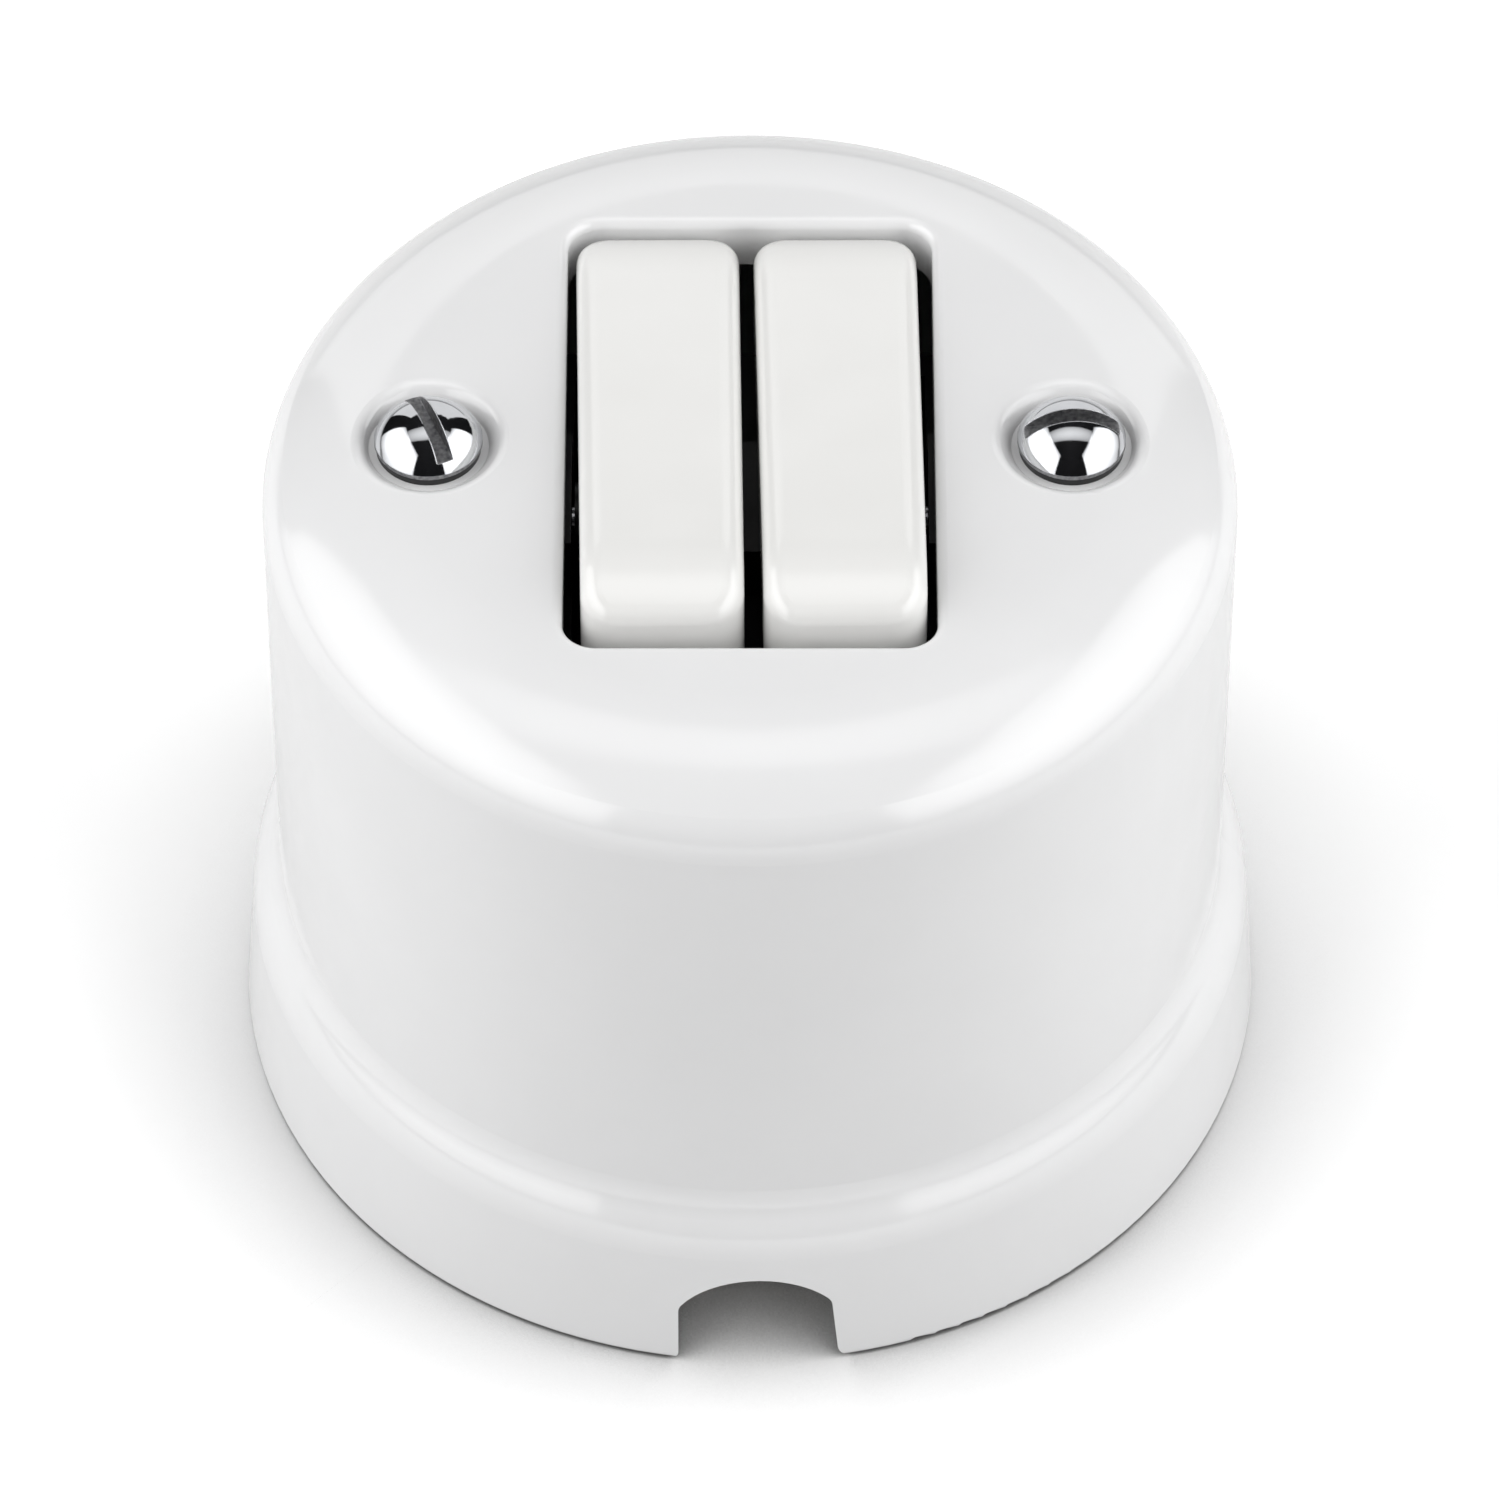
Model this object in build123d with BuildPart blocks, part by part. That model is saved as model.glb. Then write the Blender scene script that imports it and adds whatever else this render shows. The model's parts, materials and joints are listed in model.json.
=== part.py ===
"""Surface-mounted porcelain light switch with two rocker keys.

Millimetres, +Z out of the wall. The origin is the centre of the wall plane, the cable notch is towards -Y and
the two cover screws lie on the X axis. The keys are drawn as the switch rests: near ends up, both circuits
open.
"""

import os
from math import acos, asin, atan, cos, degrees, radians, sin, sqrt

from build123d import *

# Porcelain cover
body_radius = 32.5
foot_step = 2.65  # the foot stands this far outside the body
foot_height = 10.2
foot_lean = 0.7  # the foot's wall leans in by this much at its top
foot_edge = 0.6
shoulder_round = 5.0
shoulder_hollow = 3.5
cover_height = 54.5
crown_reach = 9.4  # how far the rounded crown comes in over the face
crown_drop = 6.0
crown_edge = 4.0  # tighter radius where the crown meets the side
cover_wall = 3.6
face_thickness = 4.0
ceiling_round = 5.0
aperture_corner = 2.2
lip_round = 0.7

# Cable notch in the foot
notch_width = 10.4
notch_offset = 0.34  # the notch is this far to the right of the middle
notch_height = 8.3
notch_left_side = 5.2  # heights of its straight sides
notch_right_side = 5.85
notch_right_lean = 0.4  # the right side stands this much further out at its foot
notch_arch_round = 1.2  # where the arch meets the sides
notch_left_flare = 0.9
notch_right_flare = 1.4

# Cover screws and their dished seats
screw_inset = 11.2  # from the body's side to the screws
screw_radius = 2.0
screw_clearance = 0.3
screw_engagement = 8.0
head_radius = 3.6
head_rim = 0.3
dome_height = 2.2
slot_width = 1.1
slot_depth = 1.5
left_slot_angle = 113.0
right_slot_angle = 4.0
dish_depth = 1.0
dish_margin = 0.4  # flat floor of the dish outside the head
dish_flare = 1.0
dish_round = 0.9
washer_thickness = 0.6
washer_inset = 0.1  # the washer's edge lies this far inside the head's

# Porcelain keys
key_width = 11.0  # at the far end
key_taper = 0.3  # the near end is this much narrower
key_skew = 0.9  # the caps sit on their rockers turned by this much
key_length = 36.7
key_depth = 7.0
key_shift = 0.65  # from the axle to the middle of the keys and of the aperture
key_gap = 0.95  # between the two keys at their far ends
side_gap = 0.77  # from a key's far end to the aperture's side
end_gap = 0.8  # from a level key to the aperture's ends
key_corner = 2.4
key_round = 1.5
key_bow = 9.0  # radius in which a key's top curves down towards its ends
key_bow_reach = 5.4  # length of that curve
key_wall = 2.1
key_roof = 2.5
key_lift = 1.8  # a level key's top stands this far above the face
key_tilt = 3.5  # each way from level
pivot_depth = 10.0  # from a key's top to its axle

# Rockers that carry the keys
pocket_fit = 0.1
trunk_width = 7.0
trunk_length = 8.0
trunk_drop = 9.5  # the trunk reaches this far below the axle
hub_radius = 2.6
axle_radius = 1.0
running_clearance = 0.05
press_clearance = 0.02
side_play = 0.2

# Plungers and springs
plunger_radius = 2.0
plunger_length = 7.4
bore_roof = 1.0  # wall between the axle's bore and the plunger's bore
tip_gap = 0.15  # from a level plunger's tip to the arm
spring_radius = 1.5
spring_wire = 0.4
spring_turns = 4
spring_gap = 0.05

# See-saw contact arms
fulcrum_drop = 14.5  # from the axle to the arm's fulcrum
arm_tilt = 8.0
arm_width = 5.0
arm_thickness = 1.0
arm_tail = 8.0
arm_nose = 2.2  # beyond the contact
arm_corner = 1.0
arm_end_gap = 2.1  # from the nose to the chamber's end wall
knuckle_radius = 1.2
contact_radius = 1.6
contact_thickness = 0.8
contact_gap = 0.1  # left between closed contacts
rivet_radius = 0.8
rivet_head_radius = 1.3
rivet_head_height = 0.4

# Terminals and their screws
strip_width = 6.0
strip_thickness = 1.0
saddle_length = 4.0
saddle_relief = 0.5  # the saddle stops this far below the fulcrum's axis
block_width = 7.0
block_length = 7.0
block_height = 8.0
wire_radius = 1.6
wire_height = 3.2  # wire hole above the shelf
clamp_radius = 1.6
clamp_head_radius = 2.7
clamp_head_height = 1.8
clamp_slot_width = 0.8
clamp_slot_depth = 0.9

# Moulded switch housing
web_thickness = 2.4  # between the two chambers
cheek_gap = 0.4  # from a key's side to the cheek
cheek_thickness = 2.5
cheek_length = 10.0
cheek_rise = 3.2  # above the axle
web_rise = 2.4
wall_drop = 2.0  # the walls stop this far below the axle
end_wall = 2.0
floor_thickness = 3.5
housing_corner = 1.5
strip_slot_fit = 0.1
shelf_margin = 0.6  # around the terminal blocks
shelf_clearance = 1.5  # from the shelf's corners to the cover's inside
barrier_thickness = 2.0
ear_radius = 5.5

# Brass pillars and bushes
pillar_flats = 7.0
pillar_clearance = 1.0  # below the cover's ceiling
pillar_tap_runout = 2.0
stud_engagement = 8.0
insert_radius = 3.0
insert_length = 10.0

# Porcelain base
base_thickness = 9.0
base_gap = 0.3  # between the base and the inside of the foot
base_seat = 0.1  # between the base's rim and the cover's ledge
base_edge = 0.8
post_radius = 6.0
wall_hole_radius = 2.3
wall_hole_circle = 22.5
wall_hole_angle = 35.0
wall_head_radius = 4.75
wall_head_depth = 4.0
cable_slot_margin = 1.2  # the base's slot is this much wider than the notch on each side
cable_slot_end = 13.0  # distance of the slot's inner end from the middle

# Cover shape worked out from the sizes above
foot_radius = body_radius + foot_step
foot_angle = atan(foot_lean / foot_height)
shoulder_in = foot_step - foot_lean
shoulder_span = shoulder_round * cos(foot_angle) + shoulder_hollow - shoulder_in
hollow_turn = degrees(acos(shoulder_span / (shoulder_round + shoulder_hollow)))
shoulder_turn = hollow_turn - degrees(foot_angle)
crown_turn = 2 * degrees(atan((crown_drop - crown_edge) / (crown_reach - crown_edge)))
crown_round = crown_edge + (crown_reach - crown_edge) / sin(radians(crown_turn))
cavity_radius = body_radius - cover_wall
foot_cavity_radius = foot_radius - foot_lean - cover_wall
ledge_z = base_thickness + base_seat
ceiling_z = cover_height - face_thickness
screw_offset = body_radius - screw_inset
dish_floor_z = cover_height - dish_depth
head_z = dish_floor_z + washer_thickness
dish_floor_radius = head_radius + dish_margin
aperture_width = 2 * key_width + key_gap + 2 * side_gap
dish_land = screw_offset - dish_floor_radius - dish_flare - aperture_width / 2 - lip_round
dish_rim_round = min(dish_round, 2 * dish_land)  # the face beside the aperture limits it
aperture_length = key_length + 2 * end_gap

# Key and mechanism levels
pivot_z = cover_height + key_lift - pivot_depth
key_bottom = pivot_depth - key_depth  # above the axle
gang_offset = (key_width + key_gap) / 2
fulcrum_z = pivot_z - fulcrum_drop
plunger_tip = fulcrum_drop - arm_thickness - tip_gap  # below the axle
plunger_top = plunger_tip - plunger_length
bore_top = axle_radius + running_clearance + bore_roof
cheek_inner = key_gap / 2 + key_width + cheek_gap
housing_half_width = cheek_inner + cheek_thickness
hub_inner = web_thickness / 2 + side_play
hub_outer = cheek_inner - side_play

# Housing plan
shelf_half_width = gang_offset + block_width / 2 + shelf_margin
shelf_reach = sqrt((cavity_radius - shelf_clearance) ** 2 - shelf_half_width**2)
block_outer = shelf_reach - shelf_margin
block_inner = block_outer - block_length
block_middle = block_outer - block_length / 2
wall_outer = block_inner - shelf_margin
chamber_reach = wall_outer - end_wall
contact_reach = chamber_reach - arm_end_gap - arm_nose

# Levels below the fulcrum
arm_angle = radians(arm_tilt)
closed_drop = (contact_reach + contact_radius) * sin(arm_angle) + contact_thickness * cos(arm_angle)
fixed_contact_z = fulcrum_z - closed_drop - contact_gap - contact_thickness
floor_top = fixed_contact_z - strip_thickness
floor_bottom = floor_top - floor_thickness
wall_top = pivot_z - wall_drop
saddle_top = fulcrum_z - saddle_relief
wire_z = floor_top + wire_height
block_top = floor_top + block_height
pillar_top = ceiling_z - pillar_clearance
screw_tip = pillar_top - screw_engagement
stud_length = floor_thickness + stud_engagement

hands = (("left", -1), ("right", 1))
screw_places = [(side * screw_offset, 0) for _, side in hands]
gang_places = [(side * gang_offset, 0) for _, side in hands]


def key_plane(side):
    """Plane of one key, square to it as it rests, with its origin on the axle."""
    tilt = radians(key_tilt)
    return Plane(origin=(side * gang_offset, 0, pivot_z), x_dir=(1, 0, 0), z_dir=(0, sin(tilt), cos(tilt)))


def arm_plane(side):
    """Plane of one contact arm as it rests, with its origin on the fulcrum."""
    return Plane(
        origin=(side * gang_offset, 0, fulcrum_z), x_dir=(1, 0, 0), z_dir=(0, -sin(arm_angle), cos(arm_angle))
    )


def cross_plane(plane):
    """The plane across X at the same origin, with its own x along the given plane's y."""
    return Plane(origin=plane.origin, x_dir=plane.y_dir, z_dir=(1, 0, 0))


def axle_plane(x):
    """The plane across X on the axle at a given X."""
    return Plane(origin=(x, 0, pivot_z), x_dir=(0, 1, 0), z_dir=(1, 0, 0))


os.makedirs("parts", exist_ok=True)

# Cover: one revolved porcelain bell
with BuildPart() as cover:
    with BuildSketch(Plane.XZ):
        with BuildLine():
            foot_rim = JernArc((foot_radius - foot_edge, 0), (1, 0), foot_edge, 90)
            foot_wall = Line(foot_rim @ 1, (foot_radius - foot_lean, foot_height))
            shoulder = JernArc(foot_wall @ 1, foot_wall % 1, shoulder_round, shoulder_turn)
            hollow = JernArc(shoulder @ 1, shoulder % 1, shoulder_hollow, -hollow_turn)
            body_side = Line(hollow @ 1, (body_radius, cover_height - crown_drop))
            crown_side = JernArc(body_side @ 1, (0, 1), crown_edge, 90 - crown_turn)
            crown = JernArc(crown_side @ 1, crown_side % 1, crown_round, crown_turn)
            face = Polyline(
                crown @ 1, (0, cover_height), (0, ceiling_z), (cavity_radius - ceiling_round, ceiling_z)
            )
            ceiling = JernArc(face @ 1, (1, 0), ceiling_round, -90)
            Polyline(
                ceiling @ 1,
                (cavity_radius, ledge_z),
                (foot_cavity_radius, ledge_z),
                (foot_cavity_radius, 0),
                foot_rim @ 0,
            )
        make_face()
    revolve(axis=Axis.Z)
    # Aperture for the keys, with a softly rounded lip
    with BuildSketch(Plane.XY.offset(cover_height + lip_round)):
        with Locations((0, key_shift)):
            RectangleRounded(aperture_width, aperture_length, aperture_corner)
    extrude(amount=-(face_thickness + 2 * lip_round), mode=Mode.SUBTRACT)
    aperture_edges = cover.edges(Select.LAST).filter_by(Axis.Z, reverse=True)
    fillet(aperture_edges.filter_by_position(Axis.Z, dish_floor_z, cover_height + lip_round), lip_round)
    # Dished seats and holes for the cover screws
    with Locations(*[Location((x, y, dish_floor_z)) for x, y in screw_places]):
        Cone(
            dish_floor_radius,
            dish_floor_radius + 2 * dish_flare,
            2 * dish_depth,
            align=(Align.CENTER, Align.CENTER, Align.MIN),
            mode=Mode.SUBTRACT,
        )
    dish_edges = cover.edges(Select.LAST).filter_by(GeomType.LINE, reverse=True)
    dish_rim_low = dish_floor_z + dish_depth / 4
    dish_rims = dish_edges.filter_by_position(Axis.Z, dish_rim_low, cover_height + dish_depth)
    fillet(dish_rims, dish_rim_round)
    with Locations(*[Location((x, y, dish_floor_z)) for x, y in screw_places]):
        Hole(screw_radius + screw_clearance, face_thickness)
    # Arched cable notch through the foot
    with BuildSketch(Plane.XZ.offset(foot_radius + foot_edge)) as notch:
        with BuildLine():
            left = notch_offset - notch_width / 2
            right = notch_offset + notch_width / 2
            right_foot = right + notch_right_lean
            left_flare = JernArc((left - notch_left_flare, 0), (1, 0), notch_left_flare, 90)
            left_side = Line(left_flare @ 1, (left, notch_left_side))
            arch = ThreePointArc(left_side @ 1, (notch_offset, notch_height), (right, notch_right_side))
            right_side = Line(arch @ 1, (right_foot, notch_right_flare))
            right_flare = JernArc(right_side @ 1, (0, -1), notch_right_flare, 90)
            Line(right_flare @ 1, left_flare @ 0)
        make_face()
        fillet(notch.vertices().sort_by(Axis.Y)[-2:], notch_arch_round)
    extrude(amount=-(foot_radius + foot_edge - cable_slot_end), mode=Mode.SUBTRACT)
cover.part.label = "cover"
export_step(cover.part, "parts/cover.step")

# Base: porcelain disc with two posts for the mechanism
with BuildPart() as base:
    with BuildSketch():
        Circle(foot_cavity_radius - base_gap)
    extrude(amount=base_thickness)
    fillet(base.edges().group_by(Axis.Z)[0], base_edge)
    with BuildSketch(Plane.XY.offset(base_thickness)):
        with Locations(*screw_places):
            Circle(post_radius)
    extrude(amount=floor_bottom - base_thickness)
    with BuildSketch(Plane.XY.offset(floor_bottom)):
        with Locations(*screw_places):
            Circle(insert_radius + press_clearance)
    extrude(amount=-insert_length, mode=Mode.SUBTRACT)
    with Locations(Location((0, 0, base_thickness))):
        with PolarLocations(wall_hole_circle, 2, wall_hole_angle):
            CounterBoreHole(wall_hole_radius, wall_head_radius, wall_head_depth, base_thickness)
    with BuildSketch():
        cable_slot_width = notch_width + 2 * cable_slot_margin
        with Locations((notch_offset, -cable_slot_end)):
            Rectangle(cable_slot_width, foot_radius, align=(Align.CENTER, Align.MAX))
    extrude(amount=base_thickness, mode=Mode.SUBTRACT)
base.part.label = "base"
export_step(base.part, "parts/base.step")

# Brass bushes pressed into the posts
with BuildPart() as threaded_inserts:
    with BuildSketch(Plane.XY.offset(floor_bottom)):
        with Locations(*screw_places):
            Circle(insert_radius)
            Circle(screw_radius + running_clearance, mode=Mode.SUBTRACT)
    extrude(amount=-insert_length)
threaded_inserts.part.label = "threaded_inserts"
export_step(threaded_inserts.part, "parts/threaded_inserts.step")

# Hexagonal brass pillars: the studs hold the housing down, the tapped tops take the cover screws
with BuildPart() as cover_pillars:
    with BuildSketch(Plane.XY.offset(floor_top)):
        with Locations(*screw_places):
            RegularPolygon(pillar_flats / 2, 6, major_radius=False)
    extrude(amount=pillar_top - floor_top)
    with BuildSketch(Plane.XY.offset(floor_top)):
        with Locations(*screw_places):
            Circle(screw_radius)
    extrude(amount=-stud_length)
    with BuildSketch(Plane.XY.offset(pillar_top)):
        with Locations(*screw_places):
            Circle(screw_radius + running_clearance)
    extrude(amount=-(screw_engagement + pillar_tap_runout), mode=Mode.SUBTRACT)
cover_pillars.part.label = "cover_pillars"
export_step(cover_pillars.part, "parts/cover_pillars.step")

# Black washers under the heads of the cover screws
with BuildPart() as screw_washers:
    with BuildSketch(Plane.XY.offset(dish_floor_z)):
        with Locations(*screw_places):
            Circle(head_radius - washer_inset)
            Circle(screw_radius + running_clearance, mode=Mode.SUBTRACT)
    extrude(amount=washer_thickness)
screw_washers.part.label = "screw_washers"
export_step(screw_washers.part, "parts/screw_washers.step")

# Chromed slotted round-head screws
with BuildPart() as cover_screws:
    dome_radius = (head_radius**2 + dome_height**2) / (2 * dome_height)
    head_top = head_rim + dome_height
    for (x, y), slot_angle in zip(screw_places, (left_slot_angle, right_slot_angle)):
        with BuildSketch(Plane(origin=(x, y, head_z), x_dir=(1, 0, 0), z_dir=(0, -1, 0))):
            with BuildLine():
                shank = Polyline(
                    (0, head_top),
                    (0, screw_tip - head_z),
                    (screw_radius, screw_tip - head_z),
                    (screw_radius, 0),
                    (head_radius, 0),
                    (head_radius, head_rim),
                )
                RadiusArc(shank @ 1, shank @ 0, -dome_radius)
            make_face()
        revolve(axis=Axis((x, y, 0), (0, 0, 1)))
        slot_along = (cos(radians(slot_angle)), sin(radians(slot_angle)), 0)
        with BuildSketch(Plane(origin=(x, y, head_z + head_top), x_dir=slot_along, z_dir=(0, 0, 1))):
            Rectangle(3 * head_radius, slot_width)
        extrude(amount=-slot_depth, mode=Mode.SUBTRACT)
cover_screws.part.label = "cover_screws"
export_step(cover_screws.part, "parts/cover_screws.step")

# Switch housing: floor with shelves and ears, two chambers, axle cheeks
with BuildPart() as switch_housing:
    with BuildSketch(Plane.XY.offset(floor_bottom)):
        RectangleRounded(2 * housing_half_width, 2 * wall_outer, housing_corner)
        RectangleRounded(2 * shelf_half_width, 2 * shelf_reach, housing_corner)
        SlotCenterToCenter(2 * screw_offset, 2 * ear_radius)
        with Locations(*screw_places):
            Circle(screw_radius + screw_clearance, mode=Mode.SUBTRACT)
    extrude(amount=floor_thickness)
    with BuildSketch(Plane.XY.offset(floor_top)):
        RectangleRounded(2 * housing_half_width, 2 * wall_outer, housing_corner)
        chamber_width = cheek_inner - web_thickness / 2
        with Locations(*[(side * (cheek_inner - chamber_width / 2), 0) for _, side in hands]):
            Rectangle(chamber_width, 2 * chamber_reach, mode=Mode.SUBTRACT)
    extrude(amount=wall_top - floor_top)
    with BuildSketch(Plane.XY.offset(wall_top)):
        with Locations(*[(side * (cheek_inner + cheek_thickness / 2), 0) for _, side in hands]):
            Rectangle(cheek_thickness, cheek_length)
    extrude(amount=pivot_z + cheek_rise - wall_top)
    with BuildSketch(Plane.XY.offset(wall_top)):
        Rectangle(web_thickness, cheek_length)
    extrude(amount=pivot_z + web_rise - wall_top)
    # Barriers between the terminal blocks
    with BuildSketch(Plane.XY.offset(floor_top)):
        with Locations((0, (wall_outer + shelf_reach) / 2), (0, -(wall_outer + shelf_reach) / 2)):
            Rectangle(barrier_thickness, shelf_reach - wall_outer)
    extrude(amount=block_height)
    # Slots for the terminal strips through the end walls
    with BuildSketch(Plane.XY.offset(floor_top)):
        with Locations(*gang_places):
            Rectangle(strip_width + 2 * strip_slot_fit, 2 * wall_outer)
    extrude(amount=strip_thickness + strip_slot_fit, mode=Mode.SUBTRACT)
    with BuildSketch(axle_plane(0)):
        Circle(axle_radius + press_clearance)
    extrude(amount=housing_half_width, both=True, mode=Mode.SUBTRACT)
switch_housing.part.label = "switch_housing"
export_step(switch_housing.part, "parts/switch_housing.step")

# Steel axle through the cheeks, the web and both rockers
with BuildPart() as pivot_axle:
    with BuildSketch(axle_plane(0)):
        Circle(axle_radius)
    extrude(amount=housing_half_width - side_play, both=True)
pivot_axle.part.label = "pivot_axle"
export_step(pivot_axle.part, "parts/pivot_axle.step")

key_side_angle = 90 - degrees(atan(key_taper / 2 / key_length))
key_bow_turn = degrees(asin((key_bow_reach + key_round) / key_bow))
key_clear = pivot_depth + key_round  # above a key's top
pocket_width = key_width - 2 * key_wall
pocket_length = key_length - 2 * key_wall
pocket_top = pivot_depth - key_roof

for hand, side in hands:
    tilted = key_plane(side)

    # Key: a porcelain cap, hollow underneath
    with BuildPart() as key:
        with BuildSketch(tilted.offset(key_bottom)) as plan:
            with Locations((0, key_shift)):
                Trapezoid(key_width, key_length, key_side_angle, rotation=180 + key_skew)
            fillet(plan.vertices(), key_corner)
        extrude(amount=key_depth)
        with BuildSketch(cross_plane(tilted)):
            for end in (-1, 1):
                bow_start = key_shift + end * (key_length / 2 - key_bow_reach)
                with BuildLine():
                    bow = JernArc((bow_start, pivot_depth), (end, 0), key_bow, -end * key_bow_turn)
                    beyond = bow_start + end * key_length
                    Polyline(bow @ 1, (beyond, key_clear), (bow_start, key_clear), bow @ 0)
                make_face()
        extrude(amount=key_width, both=True, mode=Mode.SUBTRACT)
        flat_top = key.faces().filter_by(tilted).sort_by(Axis.Z)[-1]
        fillet(flat_top.edges().sort_by(Axis.X)[0], key_round)
        with BuildSketch(tilted.offset(key_bottom)):
            with Locations((0, key_shift)):
                Rectangle(pocket_width, pocket_length)
        extrude(amount=pocket_top - key_bottom, mode=Mode.SUBTRACT)
    key.part.label = f"{hand}_key"
    export_step(key.part, f"parts/{hand}_key.step")

    # Rocker: a plug in the key's pocket, a hub on the axle and a trunk with the plunger's bore
    with BuildPart() as rocker:
        with BuildSketch(tilted.offset(key_bottom)):
            with Locations((0, key_shift)):
                Rectangle(pocket_width - 2 * pocket_fit, pocket_length - 2 * pocket_fit)
        extrude(amount=pocket_top - key_bottom)
        with BuildSketch(tilted.offset(-trunk_drop)):
            Rectangle(trunk_width, trunk_length)
        extrude(amount=trunk_drop)
        with BuildSketch(tilted):
            Rectangle(pocket_width - 2 * pocket_fit, trunk_length)
        extrude(amount=key_bottom)
        with BuildSketch(axle_plane(side * (hub_inner + hub_outer) / 2)):
            Circle(hub_radius)
        extrude(amount=(hub_outer - hub_inner) / 2, both=True)
        with BuildSketch(axle_plane(0)):
            Circle(axle_radius + running_clearance)
        extrude(amount=housing_half_width, both=True, mode=Mode.SUBTRACT)
        with BuildSketch(tilted.offset(-trunk_drop)):
            Circle(plunger_radius + running_clearance)
        extrude(amount=trunk_drop - bore_top, mode=Mode.SUBTRACT)
    rocker.part.label = f"{hand}_rocker"
    export_step(rocker.part, f"parts/{hand}_rocker.step")

    # Plunger: a round-nosed pin
    with BuildPart() as plunger:
        with BuildSketch(cross_plane(tilted)):
            with BuildLine():
                nose = JernArc((0, -plunger_tip), (1, 0), plunger_radius, 90)
                Polyline(nose @ 1, (plunger_radius, -plunger_top), (0, -plunger_top), nose @ 0)
            make_face()
        revolve(axis=Axis(tilted.origin, tilted.z_dir))
    plunger.part.label = f"{hand}_plunger"
    export_step(plunger.part, f"parts/{hand}_plunger.step")

    # Spring between the plunger and the top of its bore
    with BuildPart() as plunger_spring:
        spring_height = plunger_top - bore_top - spring_wire - 2 * spring_gap
        spring_base = tilted.offset(-plunger_top + spring_gap + spring_wire / 2)
        with BuildLine(spring_base):
            coil = Helix(spring_height / spring_turns, spring_height, spring_radius)
        with BuildSketch(Plane(origin=coil @ 0, z_dir=coil % 0)):
            Circle(spring_wire / 2)
        sweep()
    plunger_spring.part.label = f"{hand}_plunger_spring"
    export_step(plunger_spring.part, f"parts/{hand}_plunger_spring.step")

    # Contact arm: a brass see-saw with a half-round knuckle under its middle
    arm_level = arm_plane(side)
    arm_length = arm_tail + contact_reach + arm_nose
    with BuildPart() as contact_arm:
        with BuildSketch(arm_level):
            with Locations((0, arm_length / 2 - arm_tail)):
                RectangleRounded(arm_width, arm_length, arm_corner)
            with Locations((0, contact_reach)):
                Circle(rivet_radius + press_clearance, mode=Mode.SUBTRACT)
        extrude(amount=arm_thickness)
        with BuildSketch(cross_plane(arm_level)):
            with BuildLine():
                knuckle = CenterArc((0, 0), knuckle_radius, 180, 180)
                Line(knuckle @ 1, knuckle @ 0)
            make_face()
        extrude(amount=arm_width / 2, both=True)
    contact_arm.part.label = f"{hand}_contact_arm"
    export_step(contact_arm.part, f"parts/{hand}_contact_arm.step")

    # Moving contact: a silver rivet through the arm
    with BuildPart() as moving_contact:
        for level, radius, height in (
            (-contact_thickness, contact_radius, contact_thickness),
            (0, rivet_radius, arm_thickness),
            (arm_thickness, rivet_head_radius, rivet_head_height),
        ):
            with BuildSketch(arm_level.offset(level)):
                with Locations((0, contact_reach)):
                    Circle(radius)
            extrude(amount=height)
    moving_contact.part.label = f"{hand}_moving_contact"
    export_step(moving_contact.part, f"parts/{hand}_moving_contact.step")

    # Terminals: a strip under the end wall and a drilled block outside it
    for role, end, strip_start in (
        ("common", -1, -saddle_length / 2),
        ("load", 1, contact_reach - 2 * contact_radius),
    ):
        with BuildPart() as terminal:
            strip_length = block_middle - strip_start
            with BuildSketch(Plane.XY.offset(floor_top)):
                with Locations((side * gang_offset, end * (strip_start + strip_length / 2))):
                    Rectangle(strip_width, strip_length)
            extrude(amount=strip_thickness)
            with BuildSketch(Plane.XY.offset(floor_top)):
                with Locations((side * gang_offset, end * block_middle)):
                    Rectangle(block_width, block_length)
            extrude(amount=block_height)
            if role == "common":
                with BuildSketch(Plane.XY.offset(floor_top)):
                    with Locations((side * gang_offset, 0)):
                        Rectangle(strip_width, saddle_length)
                extrude(amount=saddle_top - floor_top)
                with BuildSketch(Plane(origin=(0, 0, fulcrum_z), x_dir=(0, 1, 0), z_dir=(1, 0, 0))):
                    Circle(knuckle_radius + running_clearance)
                extrude(amount=housing_half_width, both=True, mode=Mode.SUBTRACT)
            with BuildSketch(Plane.XZ.offset(-end * block_outer)):
                with Locations((side * gang_offset, wire_z)):
                    Circle(wire_radius)
            extrude(amount=end * block_length, mode=Mode.SUBTRACT)
            with BuildSketch(Plane.XY.offset(block_top)):
                with Locations((side * gang_offset, end * block_middle)):
                    Circle(clamp_radius + running_clearance)
            extrude(amount=wire_z - block_top, mode=Mode.SUBTRACT)
        terminal.part.label = f"{hand}_{role}_terminal"
        export_step(terminal.part, f"parts/{hand}_{role}_terminal.step")

# Fixed silver contacts on the load strips
with BuildPart() as fixed_contacts:
    with BuildSketch(Plane.XY.offset(fixed_contact_z)):
        with Locations(*[(x, contact_reach) for x, _ in gang_places]):
            Circle(contact_radius)
    extrude(amount=contact_thickness)
fixed_contacts.part.label = "fixed_contacts"
export_step(fixed_contacts.part, "parts/fixed_contacts.step")

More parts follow.
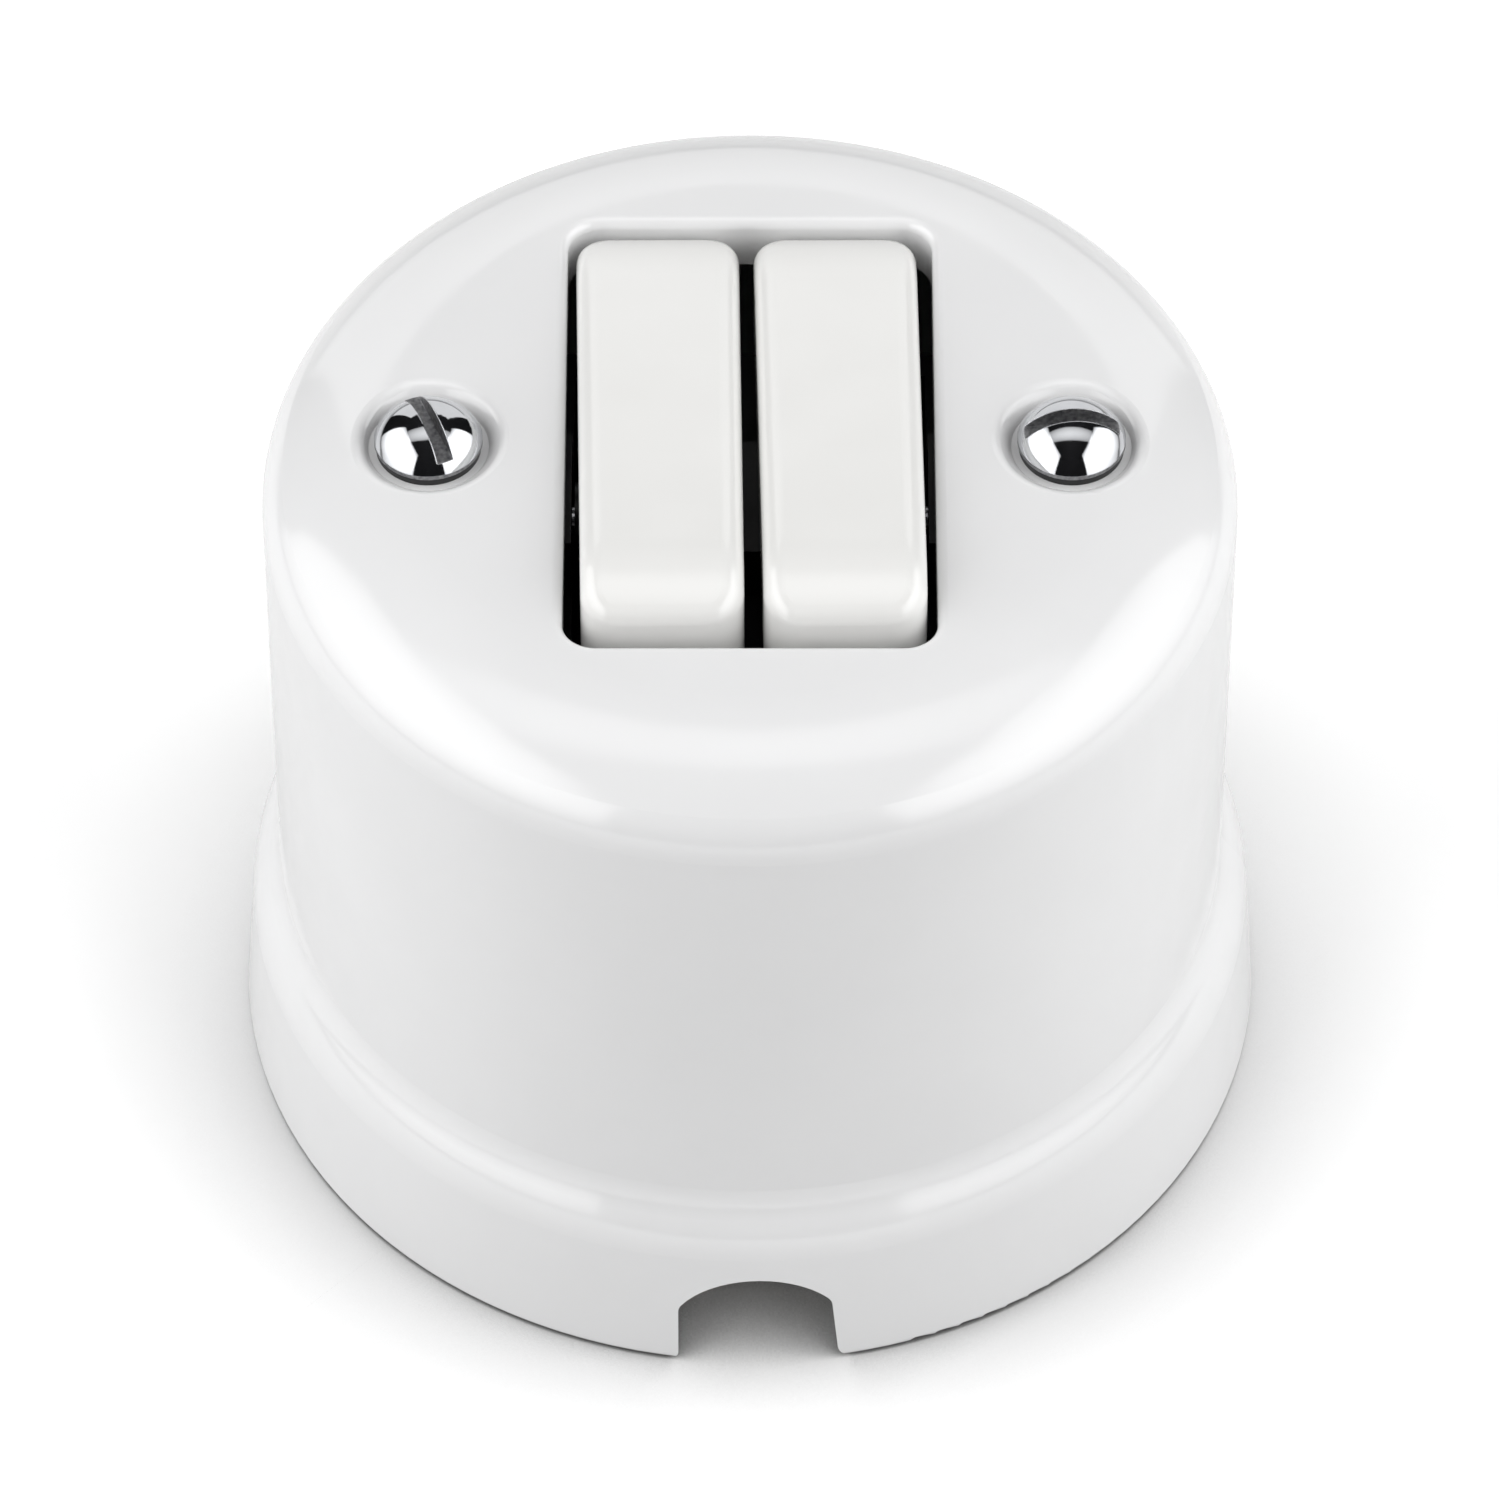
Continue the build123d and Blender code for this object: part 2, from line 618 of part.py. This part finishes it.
# Clamp screws of the four terminals
with BuildPart() as terminal_screws:
    clamp_places = [(x, end * block_middle) for x, _ in gang_places for end in (-1, 1)]
    with BuildSketch(Plane.XY.offset(wire_z + wire_radius / 2)):
        with Locations(*clamp_places):
            Circle(clamp_radius)
    extrude(amount=block_top - wire_z - wire_radius / 2)
    with BuildSketch(Plane.XY.offset(block_top)):
        with Locations(*clamp_places):
            Circle(clamp_head_radius)
    extrude(amount=clamp_head_height)
    with BuildSketch(Plane.XY.offset(block_top + clamp_head_height)):
        with Locations(*clamp_places):
            Rectangle(3 * clamp_head_radius, clamp_slot_width)
    extrude(amount=-clamp_slot_depth, mode=Mode.SUBTRACT)
terminal_screws.part.label = "terminal_screws"
export_step(terminal_screws.part, "parts/terminal_screws.step")
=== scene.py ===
"""Finishes, studio and camera for the porcelain switch with two rocker keys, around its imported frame.

Metres, in the frame of the part: +Z out of the wall plane, the cable notch towards -Y.
"""

import json
import math

import bpy
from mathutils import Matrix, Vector


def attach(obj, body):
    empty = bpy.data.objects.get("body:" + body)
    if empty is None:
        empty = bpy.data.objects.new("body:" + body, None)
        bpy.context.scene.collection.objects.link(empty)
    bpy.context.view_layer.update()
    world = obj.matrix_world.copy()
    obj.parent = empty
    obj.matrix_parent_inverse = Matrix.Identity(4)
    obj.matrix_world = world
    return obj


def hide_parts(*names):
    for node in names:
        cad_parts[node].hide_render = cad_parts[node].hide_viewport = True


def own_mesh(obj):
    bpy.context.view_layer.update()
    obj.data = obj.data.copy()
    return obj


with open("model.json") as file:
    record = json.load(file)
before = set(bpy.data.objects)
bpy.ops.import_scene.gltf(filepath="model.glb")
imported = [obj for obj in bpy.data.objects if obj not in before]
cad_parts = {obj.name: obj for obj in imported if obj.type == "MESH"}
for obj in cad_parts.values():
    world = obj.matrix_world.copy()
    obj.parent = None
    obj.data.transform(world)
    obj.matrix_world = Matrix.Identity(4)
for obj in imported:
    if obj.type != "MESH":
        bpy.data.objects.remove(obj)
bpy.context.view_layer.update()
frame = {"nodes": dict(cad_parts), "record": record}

MM = 0.001
white_light = (1, 1, 1, 1)

# Camera: as the photograph looks down on the switch, from the side of the cable notch
photo_size = 1500
photo_focal = 10219  # in pixels of that picture
sensor_width = 36.0
camera_elevation = math.radians(48.46)
camera_distance = 700 * MM
camera_target = Vector((0, 0, 23.2 * MM))

# Studio: two upright softboxes at the sides, one overhead, and a dark tent with a pale opening behind
softbox_reach = 0.5
softbox_azimuth = math.radians(75)  # from -Y, the camera's side
softbox_width = 1.02
softbox_bottom = 0.03
softbox_top = 0.78
softbox_radiance = 3.0
softbox_edges = (0.6, 0.3)  # shares of the radiance at the ends of the width and of the height
roof_height = 0.55
roof_width = 0.76
roof_front = -0.11
roof_back = 0.13
roof_radiance = 1.15
roof_edges = (0.6, 0.5)
arch_top = 0.25  # the highest value of t * (1 - t)
tent_radius = 1.2
tent_step = 5  # degrees from point to point around the tent
tent_rise = 4  # and upwards
tent_cloth = (0.015, 0.015, 0.017, 1)
window_half_azimuth = 35  # degrees
window_top = 42
ambient = 0.22
ambient_slope = 0.7  # more of the fill comes from behind the switch than from the camera's side

# Floor: white paper where it is seen, with painted shade that darkens its colour close to the switch,
# and a duller one where it only throws light back
floor_half = 4.0
paper_white = 0.95
paper_bounce = (0.56, 0.56, 0.56, 1)
paper_glow = 0.2
# Painted shade: the seen paper's colour darkens where ambient occlusion finds the switch close by, and
# its glow fades there
shade_reach = 16 * MM  # the paper's shade deepens this close to the switch
shade_samples = 8
shade_hidden = 0.3  # openness to the air of the deepest shade
shade_open = 0.45  # and of the shade beside the foot
shade_dark = 0.12
shade_beside = 0.72
shade_lean = 0.3  # the shade falls towards the camera

# Noise: the ranges of its values that are spread over tones and roughness
noise_span = (0.3, 0.7)
patch_span = (0.35, 0.75)
mark_span = (0.3, 0.75)

# Glaze
glaze_drift = 14 * MM  # size of the slow changes in tone
glaze_patch = 5 * MM  # size of the changes in gloss
glaze_roughness = (0.09, 0.15)
glaze_wave = 9 * MM
glaze_wave_depth = 0.06 * MM
glaze_ripple = 1.4 * MM
glaze_ripple_depth = 0.004 * MM
glaze_ior = 1.65
pit_spacing = 7 * MM
pit_radius = 0.16 * MM
pit_core = 0.4  # share of the radius inside the pit's edge
pit_share = 0.12  # share of the cells that have a pit
pit_depth = 0.05 * MM
pit_tone = (0.36, 0.33, 0.29, 1)
bare_facing = (-0.75, -0.95)  # Z of the normal where the glaze begins to end, and where it is gone
bare_clay = (0.66, 0.63, 0.58, 1)

# Unglazed porcelain
bisque_patch = 6 * MM
bisque_tones = ((0.5, 0.47, 0.42), (0.58, 0.55, 0.5))
bisque_grain = 0.5 * MM
bisque_grain_depth = 0.02 * MM
bisque_roughness = (0.7, 0.95)

# Metal, and the plated screws with their slots
metal_patch = 6 * MM
metal_mark = 0.25 * MM
metal_mark_depth = 0.0006 * MM
chrome_patch = 2.5 * MM
chrome_tones = ((0.62, 0.63, 0.65), (0.56, 0.57, 0.59))
chrome_mark = 0.3 * MM
chrome_mark_depth = 0.0004 * MM
chrome_roughness = (0.03, 0.08)
chrome_wear = 0.12 * MM  # how far the edges look rounded
chrome_wear_samples = 4
# Upright faces and flat bottoms of the screws, the slots among them, take a darker and rougher tone
slot_wall = (0.2, 0.35)  # Z of the normal up to which a face is shaded as a wall of the slot
slot_flat = (0.994, 0.998)  # and from which it is shaded as its bottom
slot_tones = ((0.2, 0.2, 0.21), (0.5, 0.5, 0.51))
slot_roughness = 0.45

# Moulded plastic
plastic_patch = 3 * MM
plastic_grain = 0.3 * MM
plastic_grain_depth = 0.006 * MM
plastic_scatter = (1.0, 0.9, 0.7)
plastic_scatter_depth = 1 * MM


def set_inputs(tree, node, inputs):
    """The inputs of a node, set to values or linked to sockets."""
    for name, value in inputs.items():
        if isinstance(value, bpy.types.NodeSocket):
            tree.links.new(value, node.inputs[name])
        else:
            node.inputs[name].default_value = value


def add_node(tree, kind, inputs=None, **settings):
    """A node with its settings and inputs."""
    made = tree.nodes.new(kind)
    for name, value in settings.items():
        setattr(made, name, value)
    set_inputs(tree, made, inputs or {})
    return made


def node_material(name):
    """A new material, its tree and the Principled shader in it."""
    made = bpy.data.materials.new(name)
    made.use_nodes = True
    return made, made.node_tree, made.node_tree.nodes["Principled BSDF"]


def finish(name):
    """A new material for pieces, and the place of each point on its piece."""
    made, tree, shader = node_material(name)
    return made, tree, shader, add_node(tree, "ShaderNodeTexCoord").outputs["Object"]


def maths(tree, operation, first, second):
    """Two values brought together by this operation."""
    made = add_node(tree, "ShaderNodeMath", {0: first, 1: second}, operation=operation)
    return made.outputs["Value"]


def noise(tree, place, size, detail=3.0, stretch=(1, 1, 1)):
    """Smooth noise with features of about this size in metres."""
    mapped = add_node(
        tree, "ShaderNodeMapping", {"Vector": place, "Scale": [s / size for s in stretch]}
    )
    made = add_node(
        tree,
        "ShaderNodeTexNoise",
        {"Vector": mapped.outputs["Vector"], "Scale": 1.0, "Detail": detail},
    )
    return made.outputs["Fac"]


def ramp(tree, value, span, colours):
    """A blend between two colours as value goes through the span."""
    made = add_node(tree, "ShaderNodeValToRGB", {"Fac": value})
    for element, at, colour in zip(made.color_ramp.elements, span, colours):
        element.position = at
        element.color = (*colour, 1)
    return made.outputs["Color"]


def mix_colour(tree, share, first, second):
    """The first colour where share is zero, and the second where it is one."""
    factor, a, b, result = 0, 6, 7, 2  # the colour sockets of the node
    made = add_node(tree, "ShaderNodeMix", {factor: share, a: first, b: second}, data_type="RGBA")
    return made.outputs[result]


def spread(tree, value, before, after):
    """Value moved from one range to another, and held inside it."""
    (low, high), (to_low, to_high) = before, after
    made = add_node(
        tree,
        "ShaderNodeMapRange",
        {"Value": value, "From Min": low, "From Max": high, "To Min": to_low, "To Max": to_high},
    )
    return made.outputs["Result"]


def bump(tree, height, depth, below=None):
    """A bump of this depth in metres, on top of another one."""
    inputs = {"Height": height, "Distance": depth, "Strength": 1.0}
    if below is not None:
        inputs["Normal"] = below
    return add_node(tree, "ShaderNodeBump", inputs).outputs["Normal"]


def normal_height(tree):
    """Z of the surface normal: one where a face looks out of the wall, and minus one towards it."""
    normal = add_node(tree, "ShaderNodeNewGeometry").outputs["Normal"]
    return add_node(tree, "ShaderNodeSeparateXYZ", {0: normal}).outputs["Z"]


def pinholes(tree, place):
    """One where a tiny pit of the glaze is, and zero elsewhere."""
    cells = add_node(tree, "ShaderNodeTexVoronoi", {"Vector": place, "Scale": 1 / pit_spacing})
    edge = (pit_core * pit_radius / pit_spacing, pit_radius / pit_spacing)
    near = spread(tree, cells.outputs["Distance"], edge, (1, 0))
    drawn = add_node(tree, "ShaderNodeSeparateColor", {"Color": cells.outputs["Color"]})
    chosen = maths(tree, "LESS_THAN", drawn.outputs["Red"], pit_share)
    return maths(tree, "MULTIPLY", near, chosen)


def glazed_porcelain(name, pale, deep):
    """White under a clear glaze: slow drift of tone, a few pits, wavy gloss, bare where it stands."""
    made, tree, shader, place = finish(name)
    body = ramp(tree, noise(tree, place, glaze_drift), noise_span, (deep, pale))
    pits = pinholes(tree, place)
    pitted = mix_colour(tree, pits, body, pit_tone)
    standing = spread(tree, normal_height(tree), bare_facing, (0, 1))
    gloss = spread(tree, noise(tree, place, glaze_patch), noise_span, glaze_roughness)
    wavy = bump(tree, noise(tree, place, glaze_wave, detail=1.0), glaze_wave_depth)
    fine = bump(tree, noise(tree, place, glaze_ripple, detail=2.0), glaze_ripple_depth, wavy)
    surface = {
        "Base Color": mix_colour(tree, standing, pitted, bare_clay),
        "Roughness": maths(tree, "MAXIMUM", gloss, standing),
        "Normal": bump(tree, pits, -pit_depth, fine),
        "IOR": glaze_ior,
    }
    set_inputs(tree, shader, surface)
    return made


def bisque_porcelain(name):
    """Unglazed porcelain: matt, warm white and finely grained."""
    made, tree, shader, place = finish(name)
    grain = noise(tree, place, bisque_grain, detail=4.0)
    surface = {
        "Base Color": ramp(tree, noise(tree, place, bisque_patch), noise_span, bisque_tones),
        "Roughness": spread(tree, grain, noise_span, bisque_roughness),
        "Normal": bump(tree, grain, bisque_grain_depth),
    }
    set_inputs(tree, shader, surface)
    return made


def metal(name, clean, dull, roughness, stretch=(1, 1, 1)):
    """Bare or plated metal: patches of a duller tone, and fine marks that can run one way."""
    made, tree, shader, place = finish(name)
    patches = noise(tree, place, metal_patch, detail=1.0)
    marks = noise(tree, place, metal_mark, detail=4.0, stretch=stretch)
    surface = {
        "Base Color": ramp(tree, patches, patch_span, (clean, dull)),
        "Roughness": spread(tree, marks, mark_span, roughness),
        "Normal": bump(tree, marks, metal_mark_depth),
        "Metallic": 1.0,
    }
    set_inputs(tree, shader, surface)
    return made


def slotted_chrome(name):
    """Polished plating, darker and rougher on its upright faces and flat bottoms, as in the slots, with
    worn edges around them.
    """
    made, tree, shader, place = finish(name)
    height = normal_height(tree)
    wall = spread(tree, height, slot_wall, (1, 0))
    flat = spread(tree, height, slot_flat, (0, 1))
    cut = maths(tree, "MAXIMUM", wall, flat)
    marks = noise(tree, place, chrome_mark, detail=4.0)
    polished = ramp(tree, noise(tree, place, chrome_patch), patch_span, chrome_tones)
    # The darker tone of the upright faces and flat bottoms
    cut_tone = ramp(tree, marks, noise_span, slot_tones)
    smooth = spread(tree, marks, mark_span, chrome_roughness)
    rough = maths(tree, "MULTIPLY", cut, slot_roughness)
    worn = add_node(tree, "ShaderNodeBevel", {"Radius": chrome_wear}, samples=chrome_wear_samples)
    surface = {
        "Base Color": mix_colour(tree, cut, polished, cut_tone),
        "Roughness": maths(tree, "MAXIMUM", smooth, rough),
        "Normal": bump(tree, marks, chrome_mark_depth, worn.outputs["Normal"]),
        "Metallic": 1.0,
    }
    set_inputs(tree, shader, surface)
    return made


def moulding(name, dark, pale, roughness, subsurface=0.0):
    """Moulded plastic: an even tone with a fine grain and a few rubbed patches."""
    made, tree, shader, place = finish(name)
    rubbed = noise(tree, place, plastic_patch)
    grain = noise(tree, place, plastic_grain, detail=2.0)
    surface = {
        "Base Color": ramp(tree, rubbed, patch_span, (dark, pale)),
        "Roughness": spread(tree, rubbed, noise_span, roughness),
        "Normal": bump(tree, grain, plastic_grain_depth),
        "Subsurface Weight": subsurface,
        "Subsurface Radius": plastic_scatter,
        "Subsurface Scale": plastic_scatter_depth,
    }
    set_inputs(tree, shader, surface)
    return made


finishes = {
    "glazed_porcelain": glazed_porcelain(
        "glazed_porcelain", (0.8, 0.801, 0.805), (0.78, 0.781, 0.785)
    ),
    "key_porcelain": glazed_porcelain(
        "key_porcelain", (0.81, 0.807, 0.793), (0.79, 0.787, 0.771)
    ),
    "bisque_porcelain": bisque_porcelain("bisque_porcelain"),
    "chrome": slotted_chrome("chrome"),
    "black_moulding": moulding(
        "black_moulding", (0.008, 0.008, 0.009), (0.02, 0.02, 0.021), (0.35, 0.5)
    ),
    "plunger_plastic": moulding(
        "plunger_plastic", (0.72, 0.69, 0.6), (0.78, 0.75, 0.67), (0.35, 0.45), subsurface=0.2
    ),
    "brass": metal(
        "brass", (0.8, 0.57, 0.26), (0.74, 0.52, 0.23), (0.2, 0.3), stretch=(1, 1, 0.3)
    ),
    "silver": metal("silver", (0.9, 0.88, 0.84), (0.78, 0.75, 0.7), (0.18, 0.32)),
    "steel": metal("steel", (0.62, 0.63, 0.65), (0.56, 0.57, 0.59), (0.2, 0.34)),
    "spring_steel": metal("spring_steel", (0.5, 0.51, 0.54), (0.38, 0.39, 0.42), (0.25, 0.4)),
}


def dress(node_objects, record):
    """Each node takes the finish of its slot in the record."""
    for subpart in record["subparts"]:
        slots = node_objects[subpart["node"]].data.materials
        slots.clear()
        slots.append(finishes[subpart["material_slot"]])


dress(frame["nodes"], frame["record"])


def short_spring(hand):
    """The plunger's spring as a copy of its mesh that moves with the key body, in place of the hidden
    original.
    """
    node = frame["nodes"][f"{hand}_plunger_spring"]
    coil = bpy.data.objects.new(f"{hand}_spring_coil", node.data.copy())
    bpy.context.scene.collection.objects.link(coil)
    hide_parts(f"{hand}_plunger_spring")
    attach(coil, f"{hand}_key_body")
    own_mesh(coil)


for hand in ("left", "right"):
    short_spring(hand)


def seen_rays(tree):
    """One for the rays that see the background: camera, glossy and transmission."""
    rays = add_node(tree, "ShaderNodeLightPath").outputs
    mirrored = maths(tree, "MAXIMUM", rays["Is Glossy Ray"], rays["Is Transmission Ray"])
    return maths(tree, "MAXIMUM", rays["Is Camera Ray"], mirrored)


def pale_world():
    """White where it is seen, and a fill where it only lights."""
    world = bpy.data.worlds.new("studio")
    world.use_nodes = True
    tree = world.node_tree
    white = add_node(tree, "ShaderNodeBackground", {"Color": white_light, "Strength": 1.0})
    way = add_node(tree, "ShaderNodeTexCoord").outputs["Generated"]
    behind = add_node(tree, "ShaderNodeSeparateXYZ", {0: way}).outputs["Y"]
    levels = (ambient * (1 - ambient_slope), ambient * (1 + ambient_slope))
    level = spread(tree, behind, (-1, 1), levels)
    fill = add_node(tree, "ShaderNodeBackground", {"Color": white_light, "Strength": level})
    both = add_node(
        tree, "ShaderNodeMixShader", {0: seen_rays(tree), 1: fill.outputs[0], 2: white.outputs[0]}
    )
    tree.links.new(both.outputs[0], tree.nodes["World Output"].inputs["Surface"])
    bpy.context.scene.world = world


def grid_object(name, rows):
    """A sheet through rows of points, as an object of the stage."""
    across = len(rows[0])
    points = [p for row in rows for p in row]
    quads = [
        (r * across + c, r * across + c + 1, (r + 1) * across + c + 1, (r + 1) * across + c)
        for r in range(len(rows) - 1)
        for c in range(across - 1)
    ]
    mesh = bpy.data.meshes.new(name)
    mesh.from_pydata(points, [], quads)
    made = bpy.data.objects.new(name, mesh)
    bpy.context.scene.collection.objects.link(made)
    return made


def paper_floor():
    """White paper under the switch, which keeps its cast shadow and has painted shade darkening its
    colour close by.
    """
    ends = (-floor_half, floor_half)
    floor = grid_object("floor", [[(x, y, 0) for x in ends] for y in ends])
    made, tree, shader = node_material("paper")
    tree.nodes.remove(shader)
    dull = add_node(tree, "ShaderNodeBsdfDiffuse", {"Color": paper_bounce})
    lean = add_node(tree, "ShaderNodeCombineXYZ", {"Y": shade_lean, "Z": 1.0}).outputs["Vector"]
    towards = add_node(tree, "ShaderNodeVectorMath", {0: lean}, operation="NORMALIZE")
    near = add_node(
        tree,
        "ShaderNodeAmbientOcclusion",
        {"Distance": shade_reach, "Normal": towards.outputs["Vector"]},
        samples=shade_samples,
    ).outputs["AO"]
    # Painted shade: the seen paper darkens with the ambient occlusion, more on the camera's side of the
    # switch
    beside = spread(tree, near, (shade_hidden, shade_open), (shade_dark, shade_beside))
    apart = spread(tree, near, (shade_open, 1), (0, paper_white - shade_beside))
    white = add_node(tree, "ShaderNodeBsdfDiffuse", {"Color": maths(tree, "ADD", beside, apart)})
    # The glow of the seen paper fades close to the switch, which deepens the painted shade
    lift = spread(tree, near, (shade_open, 1), (0, paper_glow))
    looked_at = add_node(tree, "ShaderNodeLightPath").outputs["Is Camera Ray"]
    shine = maths(tree, "MULTIPLY", lift, looked_at)
    glow = add_node(tree, "ShaderNodeEmission", {"Color": white_light, "Strength": shine})
    bright = add_node(tree, "ShaderNodeAddShader", {0: white.outputs[0], 1: glow.outputs[0]})
    both = add_node(
        tree, "ShaderNodeMixShader", {0: seen_rays(tree), 1: dull.outputs[0], 2: bright.outputs[0]}
    )
    tree.links.new(both.outputs[0], tree.nodes["Material Output"].inputs["Surface"])
    floor.data.materials.append(made)


def on_sphere(radius, azimuth, elevation):
    """A point seen from the switch at this azimuth (0 is -Y, 90 is +X) and elevation, in degrees."""
    a, e = math.radians(azimuth), math.radians(elevation)
    return Vector((math.sin(a) * math.cos(e), -math.cos(a) * math.cos(e), math.sin(e))) * radius


def dark_tent():
    """Dark cloth that only reflections see, open to the pale background behind the switch."""
    made, tree, shader = node_material("tent_cloth")
    set_inputs(tree, shader, {"Base Color": tent_cloth, "Roughness": 1.0})
    window_start = 180 - window_half_azimuth
    beside = range(-window_start, window_start + tent_step, tent_step)
    around = range(0, 360 + tent_step, tent_step)
    up = range(window_top, 90 + tent_rise, tent_rise)
    skirt = [[on_sphere(tent_radius, a, e) for a in beside] for e in (0, window_top)]
    crown = [[on_sphere(tent_radius, a, e) for a in around] for e in up]
    for name, rows in (("tent_skirt", skirt), ("tent_crown", crown)):
        piece = grid_object(name, rows)
        piece.data.materials.append(made)
        piece.visible_camera = False
        piece.visible_diffuse = False
        piece.visible_shadow = False
        piece.visible_transmission = False


def humps(tree, along, edge):
    """One in the middle of the lamp, falling to edge at both ends of this direction."""
    arch = maths(tree, "MULTIPLY", along, maths(tree, "SUBTRACT", 1.0, along))
    return spread(tree, arch, (0, arch_top), (edge, 1))


def softbox(name, centre, aim, size, radiance, edges):
    """A rectangular lamp turned towards a point: this radiance in its middle, less at its edges."""
    width, height = size
    lamp = bpy.data.lights.new(name, "AREA")
    lamp.shape = "RECTANGLE"
    lamp.size = width
    lamp.size_y = height
    lamp.energy = math.pi * width * height * radiance
    lamp.use_nodes = True
    tree = lamp.node_tree
    across = add_node(tree, "ShaderNodeNewGeometry").outputs["Parametric"]
    ways = add_node(tree, "ShaderNodeSeparateXYZ", {0: across}).outputs
    falls = [humps(tree, ways[axis], edge) for axis, edge in zip("XY", edges)]
    set_inputs(tree, tree.nodes["Emission"], {"Strength": maths(tree, "MULTIPLY", *falls)})
    made = bpy.data.objects.new(name, lamp)
    made.location = centre
    made.rotation_mode = "QUATERNION"
    made.rotation_quaternion = (aim - centre).to_track_quat("-Z", "Y")
    made.visible_camera = False
    bpy.context.scene.collection.objects.link(made)


def studio_lamps():
    """Upright softboxes to the left and right of the camera, and one over the switch."""
    out = softbox_reach * math.sin(softbox_azimuth)
    front = softbox_reach * math.cos(softbox_azimuth)
    middle = (softbox_bottom + softbox_top) / 2
    size = (softbox_width, softbox_top - softbox_bottom)
    aim = Vector((0, 0, middle))
    for name, side in (("left_softbox", -1), ("right_softbox", 1)):
        centre = Vector((side * out, -front, middle))
        softbox(name, centre, aim, size, softbox_radiance, softbox_edges)
    over = Vector((0, (roof_front + roof_back) / 2, roof_height))
    below = Vector((0, over.y, 0))
    roof_size = (roof_width, roof_back - roof_front)
    softbox("roof_softbox", over, below, roof_size, roof_radiance, roof_edges)


def photo_camera():
    """The camera of the photograph."""
    data = bpy.data.cameras.new("camera")
    data.sensor_width = sensor_width
    data.lens = photo_focal / photo_size * sensor_width
    made = bpy.data.objects.new("camera", data)
    back = Vector((0, -math.cos(camera_elevation), math.sin(camera_elevation)))
    made.location = camera_target + back * camera_distance
    made.rotation_mode = "QUATERNION"
    made.rotation_quaternion = (-back).to_track_quat("-Z", "Y")
    bpy.context.scene.collection.objects.link(made)
    bpy.context.scene.camera = made


pale_world()
paper_floor()
dark_tent()
studio_lamps()
photo_camera()
bpy.context.scene.view_settings.view_transform = "Standard"
